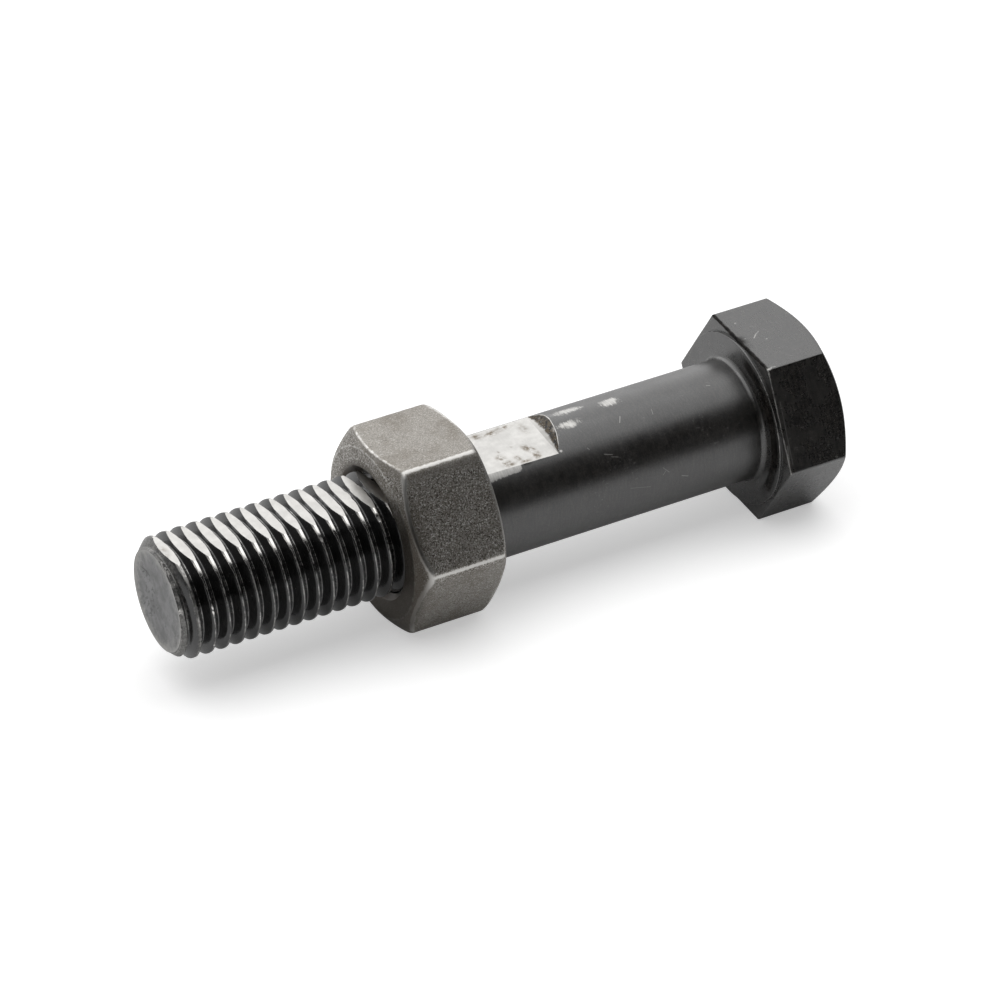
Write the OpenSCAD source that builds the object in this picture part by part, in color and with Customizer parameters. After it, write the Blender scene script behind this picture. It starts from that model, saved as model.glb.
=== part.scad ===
// Hex bolt with nut, lying on its side.
// The bolt's axis is the X axis and +Z is up. The origin is the centre of the bearing face under the head.
// The head is on the +X side and the shank points towards -X, so the threaded end is the -X end.
// Every module below is drawn with the axis upright: z = 0 is the bearing face and z grows towards the
// threaded end. lying() then turns it into its place. All sizes are in millimetres and degrees.

/* [Hexagons] */
// Width across the flats, the same on the head and on the nut
across_flats = 29.5; // [28:0.1:34]

/* [Head] */
// Height of the head, from the bearing face to its top
head_h = 12.5; // [9:0.1:16]
// How far the round bearing face stays inside the flats
washer_face_margin = 0.15; // [0:0.05:1.5]
// Height of the bearing face above the hexagon's corners
washer_face_h = 0.5; // [0.2:0.1:1]
// How far the circle where the chamfer meets the top of the head stays inside the flats
head_top_margin = 1; // [0.1:0.1:2]
// Slope of the chamfer on the head's top corners
head_chamfer_angle = 30; // [20:1:35]
// Radius of the fillet between the bearing face and the shank
fillet_r = 0.9; // [0.3:0.1:1.5]

/* [Shank] */
// Length from the bearing face to the threaded end
length = 101.5; // [85:0.5:140]
// Diameter of the plain part of the shank
shank_d = 20; // [19:0.1:22]

/* [Thread] */
// How much smaller the diameter over the thread's crests is than the shank
thread_under = 0.2; // [0.1:0.05:1]
// Axial distance from one crest to the next
pitch = 2.5; // [1.5:0.25:3]
// Length of the thread, run-out included
thread_len = 52; // [40:0.5:60]
// Depth of the thread
thread_depth = 1.53; // [0.8:0.01:1.8]
// Axial width of the flat on each crest
crest_w = 0.5; // [0.2:0.02:0.6]
// Axial width of the flat in each root
root_w = 0.4; // [0.2:0.02:0.6]
// Length over which the thread fades into the shank
runout = 3.5; // [2:0.5:6]
// Distance of the first crest from the end, along the top of the bolt
first_crest = 1.8; // [0.2:0.1:3]
// Radial depth of the chamfer around the disc at the threaded end
end_chamfer = 1.7; // [1:0.1:2.5]
// Slope of the chamfer at the threaded end
end_chamfer_angle = 45; // [30:1:60]

/* [Flat along the shank] */
// Depth of the milled flat below the shank's surface, at its end wall
flat_depth = 1.65; // [0.8:0.05:1.9]
// Depth of the flat below the shank's surface, at the threaded end
flat_end_depth = 1.1; // [0.4:0.05:1.4]
// Distance of the foot of the flat's end wall from the bearing face
flat_start = 34.4; // [20:0.1:45]
// Turn of the flat from straight up towards the front
flat_turn = 1.5; // [-30:0.5:30]
// Axial run of the sloping end wall for each millimetre of depth
flat_wall_slope = 0.75; // [0.2:0.05:2]
// Angle by which the end wall is out of square with the axis
flat_wall_skew = 6; // [-15:1:15]

/* [Nut] */
// Height of the nut
nut_h = 15.6; // [12:0.1:18]
// How far the nut's near face stands past the start of the thread, towards the head
nut_past_thread = 0.2; // [0:0.1:1]
// How far the circle where each chamfer meets the nut's faces stays inside the flats
nut_face_margin = 0.8; // [0.1:0.1:2]
// Slope of the chamfers on the nut's corners
nut_chamfer_angle = 30; // [20:1:35]
// Clearance on the diameter between the nut's bore and the shank
bore_clearance = 0.3; // [0.2:0.1:0.6]
// Radial width of the countersink at each mouth of the nut's bore
countersink_w = 0.7; // [0.2:0.05:1.2]
// Slope of the countersinks, measured from the nut's face
countersink_angle = 45; // [30:1:60]

/* [Lying on the floor] */
// Turn of the head from flat side down, its top towards the front
head_turn = 3.3; // [0:0.1:15]
// Turn of the nut from flat side down, its top towards the back
nut_turn = 3.3; // [0:0.1:15]

/* [Hidden] */

// Facets around one turn of the thread, and profile points along one pitch
turn_steps = 30;
profile_steps = 4;
// Small overlap that lets joined or cut shapes pass through each other's faces
over = 1;

corner_d = across_flats / cos(30);
head_top_d = across_flats - 2 * head_top_margin;
washer_face_d = across_flats - 2 * washer_face_margin;
nut_face_d = across_flats - 2 * nut_face_margin;
shank_r = shank_d / 2;
thread_d = shank_d - thread_under;
crest_r = thread_d / 2;
end_d = thread_d - 2 * end_chamfer;
thread_start = length - thread_len;
nut_at = thread_start - nut_past_thread;
bore_d = shank_d + bore_clearance;
countersink_d = bore_d + 2 * countersink_w;
// The thread's solid starts inside the shank and ends past the bolt's end, where the end shape trims it
thread_from = thread_start - pitch;
thread_to = length + pitch;
// Where a crest's middle lies at angle 0, brought to the start of the thread's solid
crest_from = length - first_crest - ceil((length - first_crest - thread_from) / pitch) * pitch;
thread_turns = ceil((thread_to - crest_from) / pitch);
last_row = thread_turns * profile_steps;

// Turns a shape from standing on z = 0 to lying with its axis along -X and its angle 0 straight up
module lying() {
    rotate([0, -90, 0]) children();
}

// Hexagonal bar with flat sides facing up and down once it lies
module hex_bar(h) {
    rotate([0, 0, 30]) cylinder(d = corner_d, h = h, $fn = 6);
}

// Round bar whose ends are chamfered down to face_d; low and high choose the ends
module chamfer_bar(face_d, full_d, h, angle, low, high) {
    drop = (full_d - face_d) / 2 * tan(angle);
    low_r = low ? face_d / 2 : full_d / 2;
    high_r = high ? face_d / 2 : full_d / 2;
    low_z = low ? drop : 0;
    high_z = high ? h - drop : h;
    rotate_extrude($fn = 96)
        polygon([[0, 0], [low_r, 0], [full_d / 2, low_z + (low ? 0 : drop)],
                 [full_d / 2, high_z], [high_r, h], [0, h]]);
}

module head_solid() {
    hex_h = head_h - washer_face_h;
    translate([0, 0, -head_h])
        intersection() {
            hex_bar(hex_h);
            chamfer_bar(head_top_d, corner_d + over, hex_h, head_chamfer_angle, true, false);
        }
}

// Bearing face, fillet and plain shank, as one turned shape
module shank_solid() {
    rotate_extrude($fn = 96)
        union() {
            translate([0, -washer_face_h - over]) square([washer_face_d / 2, washer_face_h + over]);
            translate([0, -over]) square([shank_r, thread_start + over]);
            difference() {
                translate([0, -over]) square([shank_r + fillet_r, fillet_r + over]);
                translate([shank_r + fillet_r, fillet_r]) circle(r = fillet_r, $fn = 48);
            }
        }
}

// Share of the full thread depth at height z, from 0 at the shank to 1 past the run-out
function depth_share(z) = min(1, max(0, (z - thread_start) / runout));

// Radius of the thread at profile point k and height z: points 0 and 3 are roots, 1 and 2 are crests
function profile_r(k, z) = (k == 1 || k == 2) ? crest_r : crest_r - thread_depth * depth_share(z);

// Axial place of profile point k, measured from the crest's middle
function profile_z(k) =
    k == 0 ? -(pitch - root_w) / 2 :
    k == 1 ? -crest_w / 2 :
    k == 2 ? crest_w / 2 :
    (pitch - root_w) / 2;

// Point of the thread in one row and column: rows climb the profile, columns go round the turn
function thread_point(row, column) =
    let (
        k = row % profile_steps,
        whole_turns = floor(row / profile_steps),
        angle = 360 * column / turn_steps,
        raw_z = crest_from + profile_z(k) + (whole_turns + column / turn_steps) * pitch,
        z = min(thread_to, max(thread_from, raw_z)),
        inwards = abs(raw_z - z) / (3 * pitch),
        r = profile_r(k, z) * (1 - inwards)
    )
    [r * cos(angle), r * sin(angle), z];

// Number of a point in the list, with the columns wrapped one pitch further on
function thread_index(row, column) =
    column < turn_steps ? row * turn_steps + column : (row + profile_steps) * turn_steps;

// Threaded bar: a helical surface closed by a fan at each end
module thread_solid() {
    points = [for (row = [0:last_row], column = [0:turn_steps - 1]) thread_point(row, column)];
    low_centre = len(points);
    high_centre = low_centre + 1;
    centres = [[0, 0, thread_from], [0, 0, thread_to]];
    last_column = turn_steps - 1;
    side = [for (row = [0:last_row - 1], column = [0:last_column])
        if (column < last_column || row + 1 + profile_steps <= last_row)
            let (
                a = thread_index(row, column),
                b = thread_index(row, column + 1),
                c = thread_index(row + 1, column + 1),
                d = thread_index(row + 1, column)
            )
            each [[a, c, b], [a, d, c]]];
    low_seam = [for (row = [0:profile_steps - 1])
        [thread_index(0, last_column), thread_index(row + 1, 0), thread_index(row, 0)]];
    high_seam = [for (row = [last_row - profile_steps:last_row - 1])
        [thread_index(last_row, 0), thread_index(row, last_column), thread_index(row + 1, last_column)]];
    low_fan = [for (column = [0:last_column])
        [low_centre, thread_index(0, column), thread_index(0, (column + 1) % turn_steps)]];
    high_fan = [for (column = [0:last_column])
        [high_centre, thread_index(last_row, (column + 1) % turn_steps), thread_index(last_row, column)]];
    polyhedron(concat(points, centres), concat(side, low_seam, high_seam, low_fan, high_fan));
}

// Bar with a chamfered end that trims the thread to the bolt's length
module end_trim() {
    chamfer_bar(end_d, thread_d + over, length, end_chamfer_angle, false, true);
}

// Milled flat: a block with one sloping end, laid along the shank and out past the threaded end
module flat_cut() {
    up = flat_depth + over;
    rise = (flat_depth - flat_end_depth) / (length - flat_start) * length;
    rotate([0, 0, -flat_turn])
        translate([shank_r - flat_depth, 0, flat_start])
            rotate([-flat_wall_skew, 0, 0])
                rotate([90, 0, 0])
                    linear_extrude(height = 2 * shank_d, center = true)
                        polygon([[0, 0], [up, -up * flat_wall_slope], [up, length], [rise, length]]);
}

module bolt() {
    color([0.16, 0.16, 0.17])
        lying()
            difference() {
                union() {
                    rotate([0, 0, -head_turn]) head_solid();
                    shank_solid();
                    intersection() {
                        thread_solid();
                        end_trim();
                    }
                }
                flat_cut();
            }
}

// Bore with a countersink at each mouth
module nut_bore() {
    sink = (countersink_d - bore_d) / 2 * tan(countersink_angle);
    translate([0, 0, -over]) cylinder(d = bore_d, h = nut_h + 2 * over, $fn = 96);
    rotate_extrude($fn = 96)
        polygon([[0, -over], [countersink_d / 2, -over], [countersink_d / 2, 0], [bore_d / 2, sink], [0, sink]]);
    rotate_extrude($fn = 96)
        polygon([[0, nut_h + over], [countersink_d / 2, nut_h + over], [countersink_d / 2, nut_h],
                 [bore_d / 2, nut_h - sink], [0, nut_h - sink]]);
}

module nut() {
    color([0.62, 0.6, 0.57])
        lying()
            translate([0, 0, nut_at])
                rotate([0, 0, nut_turn])
                    difference() {
                        intersection() {
                            hex_bar(nut_h);
                            chamfer_bar(nut_face_d, corner_d + over, nut_h, nut_chamfer_angle, true, true);
                        }
                        nut_bore();
                    }
}

bolt();
nut();
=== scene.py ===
import math
from collections import namedtuple
from functools import partial, reduce

import bpy
import numpy as np
from bpy.props import FloatProperty, FloatVectorProperty, PointerProperty
from bpy.types import Operator, Panel, PropertyGroup
from mathutils import Matrix, Vector


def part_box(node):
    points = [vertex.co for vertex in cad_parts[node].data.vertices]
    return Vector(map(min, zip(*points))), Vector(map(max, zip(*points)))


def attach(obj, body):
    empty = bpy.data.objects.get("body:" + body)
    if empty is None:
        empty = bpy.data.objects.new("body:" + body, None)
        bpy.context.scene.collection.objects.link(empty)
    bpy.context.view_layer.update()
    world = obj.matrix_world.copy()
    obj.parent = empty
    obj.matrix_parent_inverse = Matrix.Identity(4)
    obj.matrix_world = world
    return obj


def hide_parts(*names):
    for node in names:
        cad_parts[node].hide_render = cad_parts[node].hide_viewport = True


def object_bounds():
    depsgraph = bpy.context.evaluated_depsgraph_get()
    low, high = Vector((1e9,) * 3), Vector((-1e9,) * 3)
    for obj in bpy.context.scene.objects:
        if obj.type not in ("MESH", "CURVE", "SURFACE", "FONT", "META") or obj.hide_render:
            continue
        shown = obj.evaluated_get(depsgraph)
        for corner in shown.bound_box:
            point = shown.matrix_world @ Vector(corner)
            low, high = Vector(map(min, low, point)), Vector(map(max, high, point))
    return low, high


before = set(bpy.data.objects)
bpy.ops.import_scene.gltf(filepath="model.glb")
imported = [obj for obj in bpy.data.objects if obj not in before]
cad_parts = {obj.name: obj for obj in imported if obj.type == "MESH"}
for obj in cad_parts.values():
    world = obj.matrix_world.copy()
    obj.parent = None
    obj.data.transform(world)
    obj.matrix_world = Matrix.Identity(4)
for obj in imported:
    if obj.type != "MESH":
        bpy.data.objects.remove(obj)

bl_info = {
    "name": "Hex bolt with nut",
    "version": (1, 0, 0),
    "blender": (4, 5, 0),
    "location": "3D View > Sidebar > Bolt",
    "description": "Part-threaded hexagon head bolt with a milled flat, its nut, and a plain pale stage",
    "category": "Object",
}

CAD_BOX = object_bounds()
BOLT_LOW, BOLT_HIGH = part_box("bolt")
NUT_LOW, NUT_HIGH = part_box("nut")
MM = 0.001
TAU = 2 * math.pi


# Settings

def length(name, description, mm):
    return FloatProperty(name=name, description=description, default=mm * MM, precision=5, unit="LENGTH")


def turn(name, description, degrees):
    return FloatProperty(name=name, description=description, default=math.radians(degrees), subtype="ANGLE")


def paint(name, description, rgb):
    return FloatVectorProperty(name=name, description=description, default=rgb, min=0, max=1, size=3, subtype="COLOR")


class BoltSizes(PropertyGroup):
    across_flats: length("Across flats", "Width across the flats of head and nut", 29.5)
    head_h: length("Head height", "From the bearing face to the top of the head", BOLT_HIGH.x / MM)
    head_turn: turn("Head turn", "Turn of the head's top towards the front", 3.3)
    head_top_margin: length("Head top margin", "How far the top's circle stays inside the flats", 1.0)
    head_edge: length("Head edges", "Width of the worn edges of the head", 0.17)
    washer_margin: length("Bearing face margin", "How far the round bearing face stays inside the flats", 0.42)
    washer_h: length("Bearing face height", "Height of the bearing face above the hexagon", 0.48)
    fillet_r: length("Fillet radius", "Radius of the fillet under the head", 0.9)
    length: length("Length", "From the bearing face to the threaded end", -BOLT_LOW.x / MM)
    shank_r: length("Shank radius", "Radius of the plain shank", 10.0)
    crest_drop: length("Crest drop", "How far the thread's crests lie below the shank's surface", 0.1)
    thread_len: length("Thread length", "Length of the thread, run-out included", 52.0)
    pitch: length("Pitch", "Axial distance from crest to crest", 2.5)
    thread_depth: length("Thread depth", "Radial depth of the thread", 1.53)
    crest_w: length("Crest width", "Width of the crests before they are rounded", 0.46)
    thread_round: length("Thread rounding", "How softly crests and roots are rounded", 0.09)
    runout: length("Run-out", "Length over which the thread fades into the shank", 3.5)
    first_crest: length("First crest", "Distance of the first crest from the end, along the top", 1.8)
    end_r: length("End radius", "Radius of the disc at the threaded end", 8.2)
    flat_depth: length("Flat depth", "Depth of the milled flat at its end wall", 1.65)
    flat_end_depth: length("Flat depth at the end", "Depth of the milled flat at the threaded end", 1.1)
    flat_start: length("Flat start", "Distance of the foot of the flat's wall from the bearing face", 34.83)
    flat_turn: turn("Flat turn", "Turn of the flat from straight up towards the front", 1.5)


class NutSizes(PropertyGroup):
    near: length("Near face", "Distance of the nut's near face from the bearing face", -NUT_HIGH.x / MM)
    height: length("Height", "Height of the nut", (NUT_HIGH.x - NUT_LOW.x) / MM)
    turn: turn("Turn", "Turn of the nut's top towards the back", 3.3)
    face_margin: length("Face margin", "How far each face's circle stays inside the flats", 0.8)
    edge: length("Edges", "Width of the worn edges of the nut", 0.34)
    mouth_r: length("Mouth radius", "Radius of the countersink at the nut's faces", 10.85)
    inner_r: length("Inner radius", "Radius over the crests of the inner thread", 8.75)
    play: length("Play", "Radial clearance between the two threads", 0.15)


class Finish(PropertyGroup):
    oxide: paint("Black oxide", "Matte black coating of shank and head", (0.006, 0.006, 0.0062))
    oil: paint("Oiled black", "Glossy black of the thread", (0.005, 0.005, 0.005))
    bare: paint("Bare steel", "Bright steel of the milled flat and the rubbed spots", (0.60, 0.59, 0.57))
    nut: paint("Nut steel", "Dull steel of the nut", (0.30, 0.284, 0.26))
    nut_dark: paint("Nut dark", "Dark specks of the nut", (0.075, 0.062, 0.050))
    stain: paint("Stain", "Brown stains on the flat", (0.17, 0.13, 0.085))
    end_face: paint("End face", "Grey of the disc at the threaded end", (0.185, 0.185, 0.186))


class StageSizes(PropertyGroup):
    floor: paint("Floor", "Colour of the floor", (0.80, 0.80, 0.80))
    lift: FloatProperty(name="White level", description="Light added to the floor where the camera sees it",
                        default=0.46, min=0, max=1, subtype="FACTOR")
    key: FloatProperty(name="Overhead light", description="Power of the overhead softbox", default=2.5, unit="POWER")
    sky: FloatProperty(name="Backdrop light", description="Brightness of the pale backdrop", default=1.15)


class Scheme(PropertyGroup):
    bolt: PointerProperty(type=BoltSizes)
    nut: PointerProperty(type=NutSizes)
    finish: PointerProperty(type=Finish)
    stage: PointerProperty(type=StageSizes)


# Shapes: rows of points round the axis. An angle runs from straight up towards the back, a height z grows from
# the bearing face towards the threaded end, and the world's axes are X = -z, Y = r sin(angle), Z = r cos(angle).

COLUMNS = 180
FLAT_COLUMNS = 40
SIDES = 6
# Rows across one pitch of a thread, in shares of it from the crest's middle
PITCH_STEPS = (
    -0.5, -0.45, -0.385, -0.315, -0.25, -0.19, -0.14, -0.085, 0, 0.085, 0.14, 0.19, 0.25, 0.315, 0.385, 0.45,
)
# A radius that still tells the angle of a point on the axis, a distance that counts as none, and the grid on
# which points that coincide are merged
CENTRE = 1e-9
TINY = 1e-7
GRID = 2e-8


def soft_max(a, b, soft):
    """The greater of two heights, with a hyperbola of the given softness where they cross."""
    return (a + b + np.sqrt((a - b) ** 2 + soft * soft)) / 2


def soft_min(a, b, soft):
    """The lesser of two heights, with a hyperbola of the given softness where they cross."""
    return (a + b - np.sqrt((a - b) ** 2 + soft * soft)) / 2


def smooth(value, low, high):
    """0 below low, 1 above high, and a cubic step between them."""
    t = np.clip((value - low) / (high - low), 0, 1)
    return t * t * (3 - 2 * t)


def band(value, low, full, fading, high):
    """0 below low, 1 from full to fading, 0 above high, and cubic steps between them."""
    return smooth(value, low, full) * (1 - smooth(value, fading, high))


def blob(z, across, at_z, at_across, long, wide):
    """A soft spot: a bell of half-lengths long and wide round its middle."""
    return np.exp(-(((z - at_z) / long) ** 2 + ((across - at_across) / wide) ** 2))


def wrapped(angle):
    """An angle in degrees, from -180 to 180."""
    return np.degrees(np.mod(angle + math.pi, TAU) - math.pi)


def thread_drop(offset, b):
    """Depth below the crest at an axial offset from its middle: none on the crest, then a flank at 60 degrees to
    the axis, then the root's full depth, with both bends rounded by hyperbolas."""
    flank = (np.abs(offset) - b.crest_w / 2) * math.tan(math.radians(60))
    drop = soft_max(flank, 0, b.thread_round)
    middle = soft_max(-b.crest_w / 2 * math.tan(math.radians(60)), 0, b.thread_round)
    return soft_min(drop - middle, b.thread_depth, b.thread_round)


def bolt_radius(z, offset, b):
    """Radius of shank and thread before the flat is cut: the shank's own, less the thread's depth times the share
    of the run-out that is behind, and never outside the chamfer's cone at the end."""
    done = smooth(z, b.length - b.thread_len, b.length - b.thread_len + b.runout)
    r = b.shank_r - done * (b.crest_drop + thread_drop(offset, b))
    return soft_min(r, b.end_r + (b.length - z), 0.08 * MM)


def flat_height(z, b):
    """Height of the flat above the axis: it falls in a straight line from the end towards its wall."""
    slope = (b.flat_depth - b.flat_end_depth) / (b.length - b.flat_start)
    return b.shank_r - b.flat_depth + slope * (z - b.flat_start)


def foot_and_rim(angle, b):
    """Heights z of the foot and the rim of the wall that ends the flat: the foot is a nearly square line, and the
    rim is where the wall, rising from the foot at a slope that changes across it, meets the shank."""
    across = b.shank_r * np.sin(np.clip(angle, -0.6, 0.6))
    rise = np.maximum(b.shank_r * np.cos(np.clip(angle, -0.6, 0.6)) - flat_height(b.flat_start, b), 0)
    slope = 0.98 - np.where(across < 0, 0.05, 0.125) * across / MM
    foot = b.flat_start - 0.042 * across
    past = np.maximum(np.abs(angle) - math.acos(flat_height(b.flat_start, b) / b.shank_r), 0)
    rim = np.minimum(foot - rise / slope, foot - 0.02 * MM - np.minimum(past * 3 * MM, 0.6 * MM))
    return foot, rim, slope


def column_angles(half, b):
    """Angles of the columns in rows with a flat of half-width half: the first columns span the flat, one more
    follows close beyond each edge, and the others share the rest of the turn."""
    half = np.asarray(half)[:, None]
    inner = np.linspace(-1, 1, FLAT_COLUMNS + 1)[None, :] * half
    gap = math.radians(0.35)
    outer = np.linspace(0, 1, COLUMNS - FLAT_COLUMNS - 1)[None, :]
    outer = half + gap + outer * (TAU - 2 * half - 2 * gap)
    return np.concatenate([inner, outer], 1) - b.flat_turn


def corner_angles(turned):
    """Angles of the columns round a hexagon: equally many to a side, closer together towards the corners."""
    side = np.linspace(-1, 1, COLUMNS // SIDES + 1)[:-1]
    packed = np.sign(side) * (1 - (1 - np.abs(side)) ** 1.9) * math.pi / SIDES
    return (packed[None, :] + (np.arange(SIDES) * TAU / SIDES)[:, None]).ravel() + turned


def hexagon(angles, turned, across_flats, corner_r):
    """Distance of a hexagon's outline from the axis, its flats straight and its corners arcs of a small circle,
    and how near each column is to a corner: 1 on it, falling off in a bell one degree wide."""
    sector = TAU / SIDES
    off_flat = np.mod(angles - turned + sector / 2, sector) - sector / 2
    off_corner = np.mod(angles - turned, sector) - sector / 2
    centre = (across_flats / 2 - corner_r) / math.cos(sector / 2)
    arc = centre * np.cos(off_corner) + np.sqrt(np.maximum(corner_r ** 2 - (centre * np.sin(off_corner)) ** 2, 0))
    reach = math.atan2(corner_r / 2, centre + corner_r * math.cos(sector / 2))
    rho = np.where(np.abs(off_corner) < reach, arc, across_flats / 2 / np.cos(off_flat))
    return rho, np.exp(-(off_corner / math.radians(1.0)) ** 2)


def profile_rows(corners, cuts, steps, wears):
    """Radii, heights and wear of rows between the corners of a profile carried round the axis. Each corner gives
    way to a parabola that starts and ends one cut away from it, and the wear is greatest there and fades within
    two more cuts."""
    rows, worn = [corners[0]], [np.zeros(COLUMNS)]
    last = len(corners) - 1
    for i in range(1, last + 1):
        here, back = corners[i], rows[-1]
        away = here - corners[i - 1]
        span = np.linalg.norm(away, axis=0)
        into = away / np.maximum(span, 1e-9)
        ahead = corners[min(i + 1, last)] - here
        room = np.linalg.norm(ahead, axis=0)
        out = ahead / np.maximum(room, 1e-9)
        cut = np.minimum(cuts[i], 0.3 * np.minimum(span, room if i < last else span))
        guard = np.minimum(3 * cut, 1.1 * MM)
        stop, leave = here - into * cut, here + out * cut
        goal = here - into * np.minimum(guard, 0.5 * span)
        for t in np.linspace(0, 1, steps[i] + 1)[1:]:
            rows.append(back + (goal - back) * t)
            worn.append(np.zeros(COLUMNS))
        if i == last:
            continue
        for t, w in ((0, 0.55), (0.25, 0.9), (0.5, 1), (0.75, 0.9), (1, 0.55)):
            rows.append(stop * (1 - t) ** 2 + here * 2 * t * (1 - t) + leave * t * t)
            worn.append(w * wears[i] * np.ones(COLUMNS))
        rows.append(here + out * np.minimum(guard, 0.5 * room))
        worn.append(np.zeros(COLUMNS))
    rows = np.array(rows)
    return rows[:, 0], rows[:, 1], np.array(worn)


def corner(r, z):
    """A corner of a profile carried round the axis: its radius and its height in every column."""
    return np.stack([r + np.zeros(COLUMNS), z + np.zeros(COLUMNS)])


def axis_points(angles, r, z):
    """World points of rows given by angle, radius and height z."""
    return np.stack([-z, r * np.sin(angles), r * np.cos(angles)], -1)


def skin(name, points, onwards, fields, finish, materials):
    """One closed mesh from rows of points round the axis. Row i goes on, past its last column, in row onwards[i],
    which is i itself for a ring and one pitch further for a thread. Points that coincide are merged, so faces
    squeezed to nothing at a pole or at the end of a thread drop out."""
    index = np.arange(len(points) * COLUMNS).reshape(-1, COLUMNS)
    beside = np.concatenate([index[:, 1:], index[onwards, :1]], 1)
    quads = np.stack([index[:-1], beside[:-1], beside[1:], index[1:]], -1).reshape(-1, 4)
    points, finish = points.reshape(-1, 3), finish.reshape(-1)
    places = np.round(points / GRID).astype(np.int64)
    _, first, again = np.unique(places, axis=0, return_index=True, return_inverse=True)
    quads = again.reshape(-1)[quads]
    same = quads == np.roll(quads, -1, axis=1)
    count = same.sum(1)
    crossed = (quads[:, 0] == quads[:, 2]) | (quads[:, 1] == quads[:, 3])
    full = (count == 0) & ~crossed
    three = (count == 1) & ~crossed
    triangles = quads[three][~same[three]].reshape(-1, 3)
    used, renumbered = np.unique(np.concatenate([quads[full].ravel(), triangles.ravel()]), return_inverse=True)
    n_quads = 4 * int(full.sum())
    faces = renumbered[:n_quads].reshape(-1, 4).tolist() + renumbered[n_quads:].reshape(-1, 3).tolist()
    mesh = bpy.data.meshes.new(name)
    mesh.from_pydata(points[first][used].tolist(), [], faces)
    for key, values in fields.items():
        attribute = mesh.attributes.new(key, "FLOAT", "POINT")
        attribute.data.foreach_set("value", values.reshape(-1)[first][used].astype(np.float32))
    for material in materials:
        mesh.materials.append(material)
    slots = np.concatenate([finish[full], finish[three]]).astype(np.int32)
    mesh.polygons.foreach_set("material_index", slots)
    mesh.polygons.foreach_set("use_smooth", np.ones(len(slots), bool))
    mesh.update()
    if mesh.validate():
        raise RuntimeError(name + " has faulty faces")
    mesh.set_sharp_from_angle(angle=math.radians(42))
    mark_borders(mesh)
    piece = bpy.data.objects.new(name, mesh)
    bpy.context.scene.collection.objects.link(piece)
    weighted = piece.modifiers.new("Flat faces", "WEIGHTED_NORMAL")
    weighted.keep_sharp = True
    return piece


def mark_borders(mesh):
    """Mark as sharp every edge whose two faces differ in finish."""
    def read(items, key, kind):
        values = np.empty(len(items), kind)
        items.foreach_get(key, values)
        return values

    edge = read(mesh.loops, "edge_index", np.int32)
    slot = np.repeat(read(mesh.polygons, "material_index", np.int32), read(mesh.polygons, "loop_total", np.int32))
    low = np.full(len(mesh.edges), len(mesh.materials))
    high = np.full(len(mesh.edges), -1)
    np.minimum.at(low, edge, slot)
    np.maximum.at(high, edge, slot)
    mesh.edges.foreach_set("use_edge_sharp", read(mesh.edges, "use_edge_sharp", bool) | (low != high))


# Bolt, from the top of the head to the disc at the threaded end

Rows = namedtuple("Rows", "angle r z flat step worn stain")


def rub_marks(z, degrees):
    """Wear on the shank: three scuffs along its top, a bare strip below the flat and a nick at the wall's end."""
    marks = 0.74 * blob(z, degrees, 29.3, 11.3, 3.2, 6.5)
    marks += 0.72 * blob(z, degrees, 30.9, -8.6, 2.8, 6.0)
    marks += 0.95 * blob(z, degrees, 22.4, 4.0, 1.9, 7.0)
    marks += blob(z, degrees, 34.5, -33.6, 0.35, 1.8)
    strip_start = 41.9 - 0.05 * (degrees + 37.5)
    strip = smooth(z, strip_start - 0.15, strip_start + 0.15) * band(degrees, -41.2, -40.2, -32, -31)
    return np.clip(np.maximum(marks, strip), 0, 1)


def stains(angle, r, z, b):
    """Brown marks on the flat, each a soft spot placed by its height and its distance across, and a dull spot by
    the threaded end."""
    spots = (
        (44.3, 4.4, 0.9, 0.9, 0.7), (41.8, 4.1, 1.2, 0.7, 0.9), (39.3, 4.6, 1.4, 0.6, 0.8),
        (38.9, -1.6, 0.6, 0.8, 0.9), (38.2, -3.0, 0.8, 1.0, 0.9), (38.3, -4.6, 0.7, 0.7, 0.8),
        (43.6, -2.4, 0.8, 0.9, 0.8), (43.3, -4.4, 1.0, 0.8, 1.0), (41.3, -3.6, 0.6, 0.7, 0.8),
        (40.6, -5.0, 1.0, 0.6, 0.8), (43.2, -0.8, 0.22, 0.2, 0.9), (40.7, -0.5, 0.25, 0.2, 0.9),
        (36.6, 3.0, 0.8, 1.6, 0.5),
    )
    z, across = z / MM, r * np.sin(angle + b.flat_turn) / MM
    total = sum(strength * blob(z, across, *spot) for *spot, strength in spots)
    dull = 0.8 * blob(z, r * np.sin(angle) / MM, b.length / MM - 1.3, -0.5, 0.9, 2.2)
    return np.maximum(np.clip(total, 0, 1), dull)


def section(b, angle, r, z, flat=False, step=False, worn=None, stain=None):
    """Rows of one stretch of the bolt, with every array spread over all columns. Wear and stain are the shank's
    own where none are given."""
    worn = rub_marks(z / MM, wrapped(angle)) if worn is None else worn
    stain = stains(angle, r, z, b) if stain is None else stain
    return Rows(*np.broadcast_arrays(angle, r, z, flat, step, worn, stain))


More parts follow.
